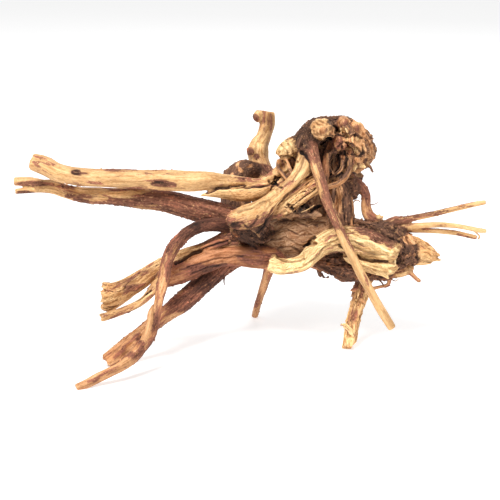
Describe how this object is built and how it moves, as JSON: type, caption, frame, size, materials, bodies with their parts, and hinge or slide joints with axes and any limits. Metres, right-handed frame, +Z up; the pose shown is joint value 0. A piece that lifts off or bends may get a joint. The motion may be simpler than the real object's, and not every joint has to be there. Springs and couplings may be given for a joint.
{
  "type": "spiderwood root",
  "caption": "Gnarled branching root: knotted crown, long pale arms and thin twigs, standing on the tips of its legs.",
  "frame": {"origin": "on the ground, under the middle of the root's outline", "axes": "+X along the root's length to the thin twigs, +Y to its back, +Z up"},
  "size_m": [0.4651, 0.2517, 0.2239],
  "materials": {
    "wood": "dry, matt, with raised grain and patches of bark"
  },
  "bodies": {
    "root": {"spiderwood_root": "wood"}
  },
  "joints": []
}
